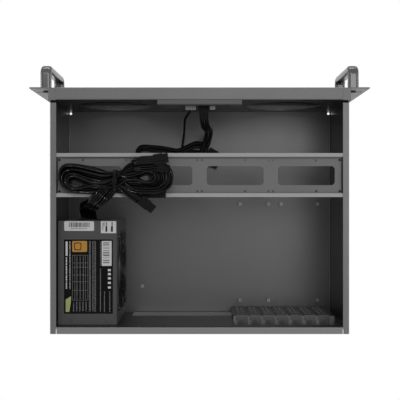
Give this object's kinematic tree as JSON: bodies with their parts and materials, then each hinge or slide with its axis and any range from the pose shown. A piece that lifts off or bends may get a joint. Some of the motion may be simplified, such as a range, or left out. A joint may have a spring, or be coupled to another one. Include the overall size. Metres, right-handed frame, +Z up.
{
  "type": "empty rackmount server case",
  "caption": "Short-depth rackmount server case, lid off, with drive bridge, vented card slot covers, carry handles and a fitted power supply with its tied cable harness.",
  "frame": {"origin": "middle of the case's footprint, on its bottom face", "axes": "+X across the case towards the power supply, -Y the front with the handles, +Z up"},
  "size_m": [0.4826, 0.386, 0.2012],
  "materials": {
    "case_steel": "satin powder coat, dark grey",
    "front_steel": "satin powder coat, dark grey",
    "bridge_steel": "satin powder coat, dark grey",
    "cover_steel": "satin powder coat, dark grey",
    "handle_finish": "satin grey, smooth",
    "zinc_screws": "zinc plated",
    "black_screws": "black zinc plated",
    "circuit_board": "solder mask over glass fibre",
    "button_plastic": "moulded, satin",
    "lens_plastic": "clear moulded",
    "plated_shell": "tin plated",
    "psu_steel": "fine textured powder coat, near black",
    "fan_plastic": "moulded",
    "guard_wire": "black coated wire",
    "switch_plastic": "moulded",
    "cable_jacket": "smooth jacket and braided sleeve",
    "plug_nylon": "moulded nylon"
  },
  "bodies": {
    "case": {"chassis_tray": "case_steel", "rear_panel": "case_steel", "slot_housing": "case_steel", "front_wall": "case_steel", "control_bracket": "case_steel", "front_panel": "front_steel", "ear_left": "front_steel", "ear_right": "front_steel", "drive_bridge": "bridge_steel", "slot_cover_1": "cover_steel", "slot_cover_2": "cover_steel", "slot_cover_3": "cover_steel", "slot_cover_4": "cover_steel", "slot_cover_5": "cover_steel", "slot_cover_6": "cover_steel", "slot_cover_7": "cover_steel", "handle_left": "handle_finish", "handle_right": "handle_finish", "slot_screws": "zinc_screws", "psu_screws": "zinc_screws", "board_standoffs": "zinc_screws", "handle_screws": "black_screws", "ear_screws": "black_screws", "bridge_screws": "black_screws", "control_board": "circuit_board", "indicator_lenses": "lens_plastic", "usb_ports": "plated_shell", "psu_base": "psu_steel", "psu_cover": "psu_steel", "psu_fan_frame": "fan_plastic", "psu_fan_guard": "guard_wire", "psu_inlet": "switch_plastic", "psu_switch_body": "switch_plastic", "psu_grommet": "switch_plastic", "cable_main": "cable_jacket", "cable_cpu": "cable_jacket", "cable_card": "cable_jacket", "cable_drive_a": "cable_jacket", "cable_drive_b": "cable_jacket", "cable_drive_c": "cable_jacket", "harness_hank": "cable_jacket", "usb_lead": "cable_jacket", "panel_lead": "cable_jacket", "lead_hank": "cable_jacket", "main_plug": "plug_nylon", "cpu_plug": "plug_nylon", "drive_plugs": "plug_nylon", "usb_plug": "plug_nylon", "panel_plugs": "plug_nylon", "cable_tie": "plug_nylon", "lead_tie": "plug_nylon"},
    "power_button": {"power_button": "button_plastic"},
    "reset_button": {"reset_button": "button_plastic"},
    "mains_rocker": {"psu_rocker": "switch_plastic"},
    "fan_rotor": {"psu_fan_rotor": "fan_plastic"}
  },
  "joints": [
    {"name": "power_press", "type": "slide", "parent": "case", "child": "power_button", "axis": [0, 1, 0], "range_m": [0, 0.0012], "stiffness_N_per_m": 900},
    {"name": "reset_press", "type": "slide", "parent": "case", "child": "reset_button", "axis": [0, 1, 0], "range_m": [0, 0.0012], "stiffness_N_per_m": 900},
    {"name": "mains_switch", "type": "hinge", "parent": "case", "child": "mains_rocker", "pos_m": [0.163, 0.1803, 0.061], "axis": [1, 0, 0], "range_deg": [-18, 0]},
    {"name": "fan_spin", "type": "hinge", "parent": "case", "child": "fan_rotor", "pos_m": [0.132, 0.109, 0.0762], "axis": [1, 0, 0], "continuous": true}
  ]
}
